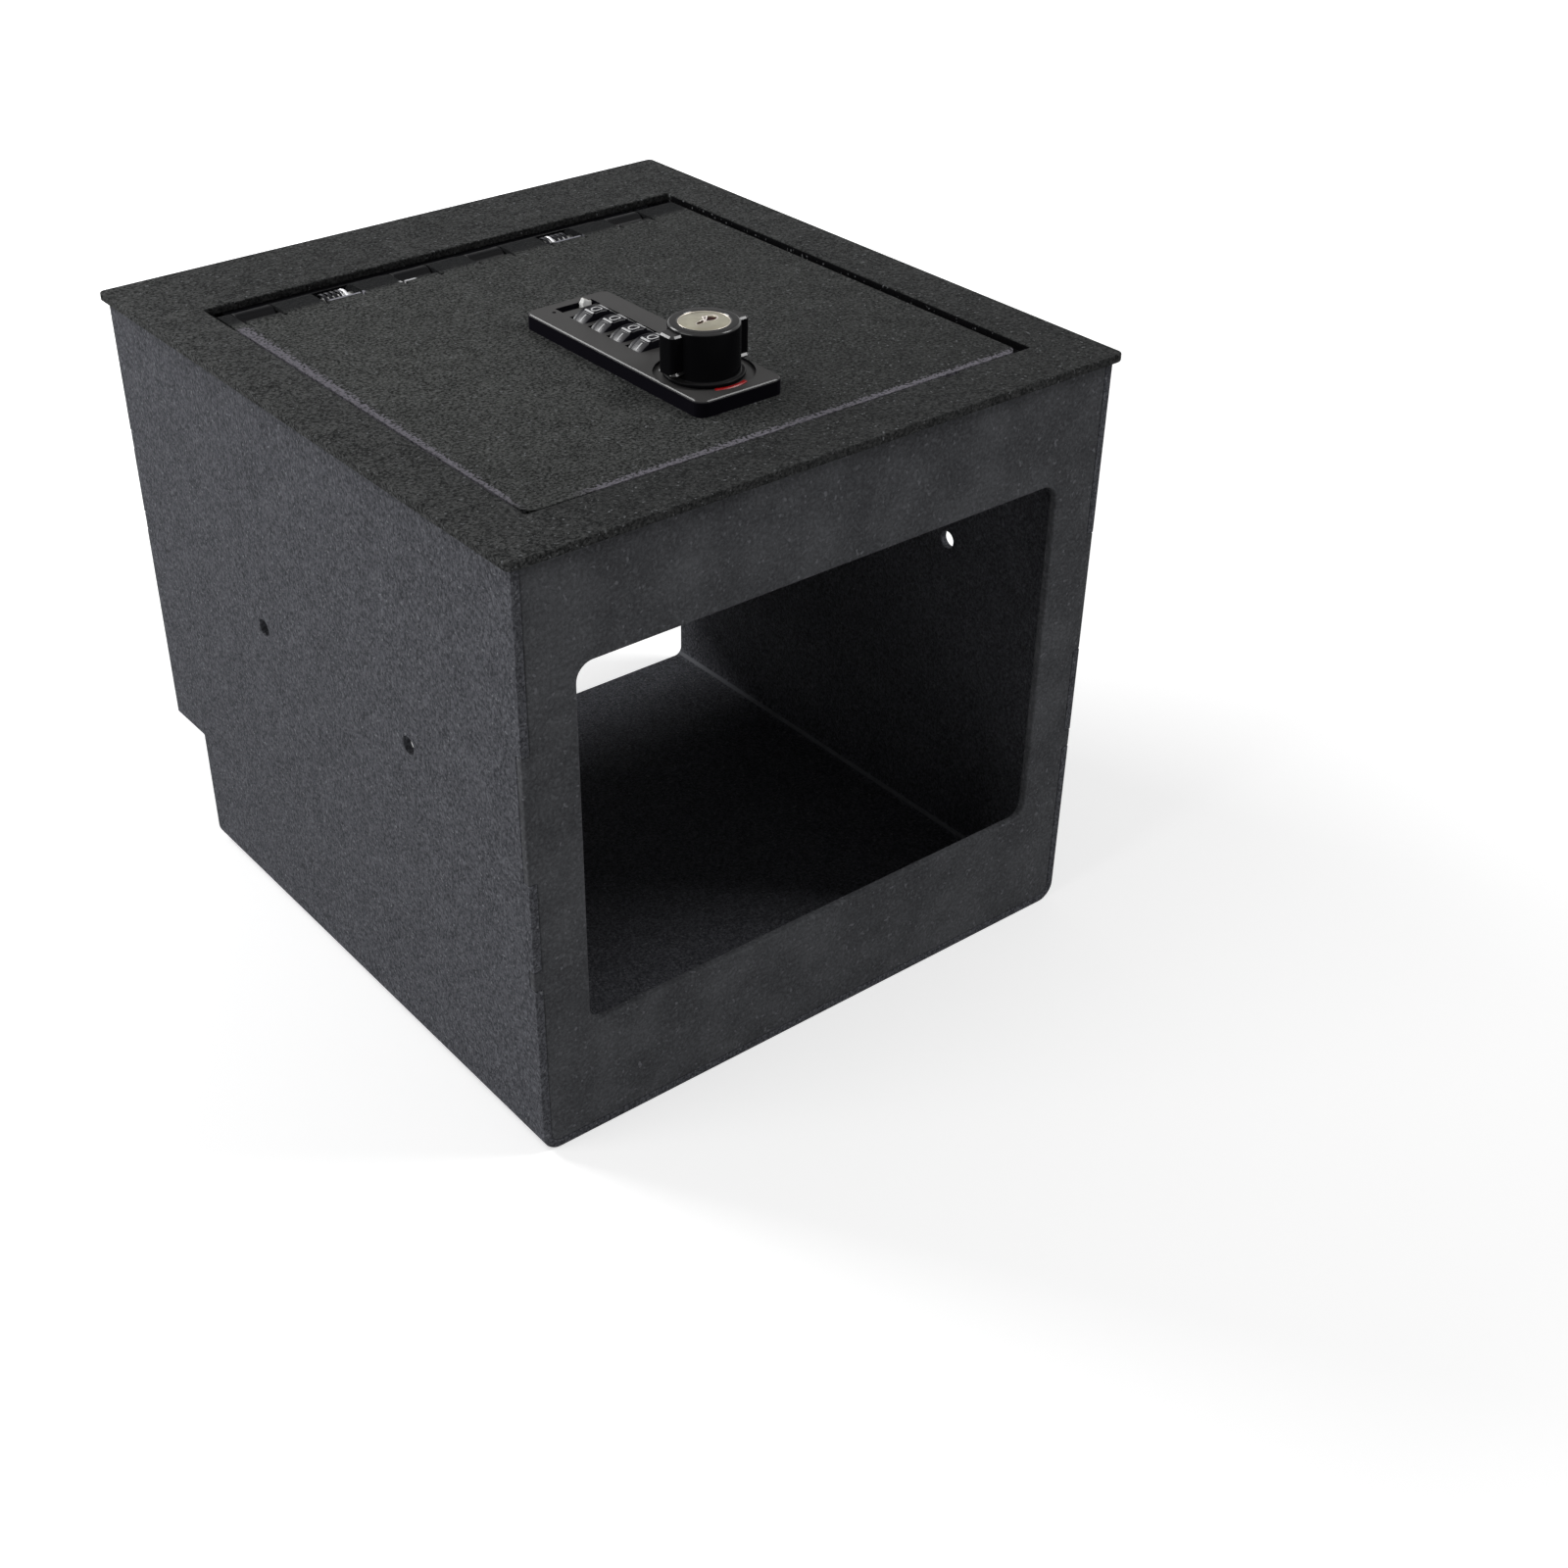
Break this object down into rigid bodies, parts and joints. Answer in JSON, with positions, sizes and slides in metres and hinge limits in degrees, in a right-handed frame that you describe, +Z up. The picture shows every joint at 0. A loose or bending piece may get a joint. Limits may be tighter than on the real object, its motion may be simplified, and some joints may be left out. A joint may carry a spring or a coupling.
{
  "type": "console safe",
  "caption": "Folded steel console safe with a window in its front, an open foot at the back, a hinged top lid and a combination cam lock.",
  "frame": {"origin": "on the surface the safe stands on, under the middle of its top plate", "axes": "+X along the hinge to the right as seen from the window, +Y from the window to the hinge, +Z up"},
  "size_m": [0.2, 0.216, 0.2006],
  "materials": {
    "case_coat": "near-black powder coat with a fine leather-like wrinkle",
    "top_coat": "near-black powder coat with a fine leather-like wrinkle",
    "hinge_coat": "smooth black coat",
    "zinc_steel": "zinc plated steel",
    "spring_steel": "bright spring wire",
    "lock_black": "satin black die-cast zinc",
    "knob_black": "gloss black",
    "dial_black": "black with white digits",
    "nickel": "brushed nickel",
    "red_plastic": "gloss red",
    "white_plastic": "white"
  },
  "bodies": {
    "case": {"case_wrap": "case_coat", "front_panel": "case_coat", "rear_panel": "case_coat", "top_plate": "top_coat", "lid_ledge": "case_coat", "keeper_bracket": "zinc_steel", "hinge_leaf": "hinge_coat", "hinge_pin": "zinc_steel", "hinge_springs": "spring_steel"},
    "lid": {"lid_plate": "top_coat", "lock_housing": "lock_black", "lock_back_cover": "lock_black", "cover_screws": "zinc_steel", "fixing_screws": "zinc_steel", "barrel_washer": "zinc_steel", "barrel_nut": "zinc_steel", "dial_shaft": "zinc_steel", "detent_spring": "spring_steel", "red_marker": "red_plastic"},
    "knob": {"knob": "knob_black", "spindle": "zinc_steel", "cam": "zinc_steel", "cam_washer": "zinc_steel", "cam_screw": "zinc_steel"},
    "key_plug": {"key_plug": "nickel"},
    "code_slide": {"code_slide": "white_plastic"},
    "dial_1": {"dial_1": "dial_black"},
    "dial_2": {"dial_2": "dial_black"},
    "dial_3": {"dial_3": "dial_black"},
    "dial_4": {"dial_4": "dial_black"}
  },
  "joints": [
    {"name": "lid_hinge", "type": "hinge", "parent": "case", "child": "lid", "pos_m": [0, 0.06795, 0.17795], "axis": [-1, 0, 0], "range_deg": [0, 105]},
    {"name": "knob_turn", "type": "hinge", "parent": "lid", "child": "knob", "pos_m": [-0.003, -0.055, 0.186], "axis": [0, 0, -1], "range_deg": [0, 90]},
    {"name": "key_turn", "type": "hinge", "parent": "knob", "child": "key_plug", "pos_m": [-0.003, -0.055, 0.196], "axis": [0, 0, -1], "range_deg": [0, 90]},
    {"name": "code_slide_travel", "type": "slide", "parent": "lid", "child": "code_slide", "axis": [-1, 0, 0], "range_m": [0, 0.0076]},
    {"name": "dial_1_turn", "type": "hinge", "parent": "lid", "child": "dial_1", "pos_m": [-0.003, -0.0064, 0.1812], "axis": [0, 1, 0], "continuous": true},
    {"name": "dial_2_turn", "type": "hinge", "parent": "lid", "child": "dial_2", "pos_m": [-0.003, -0.0151, 0.1812], "axis": [0, 1, 0], "continuous": true},
    {"name": "dial_3_turn", "type": "hinge", "parent": "lid", "child": "dial_3", "pos_m": [-0.003, -0.0238, 0.1812], "axis": [0, 1, 0], "continuous": true},
    {"name": "dial_4_turn", "type": "hinge", "parent": "lid", "child": "dial_4", "pos_m": [-0.003, -0.0325, 0.1812], "axis": [0, 1, 0], "continuous": true}
  ]
}
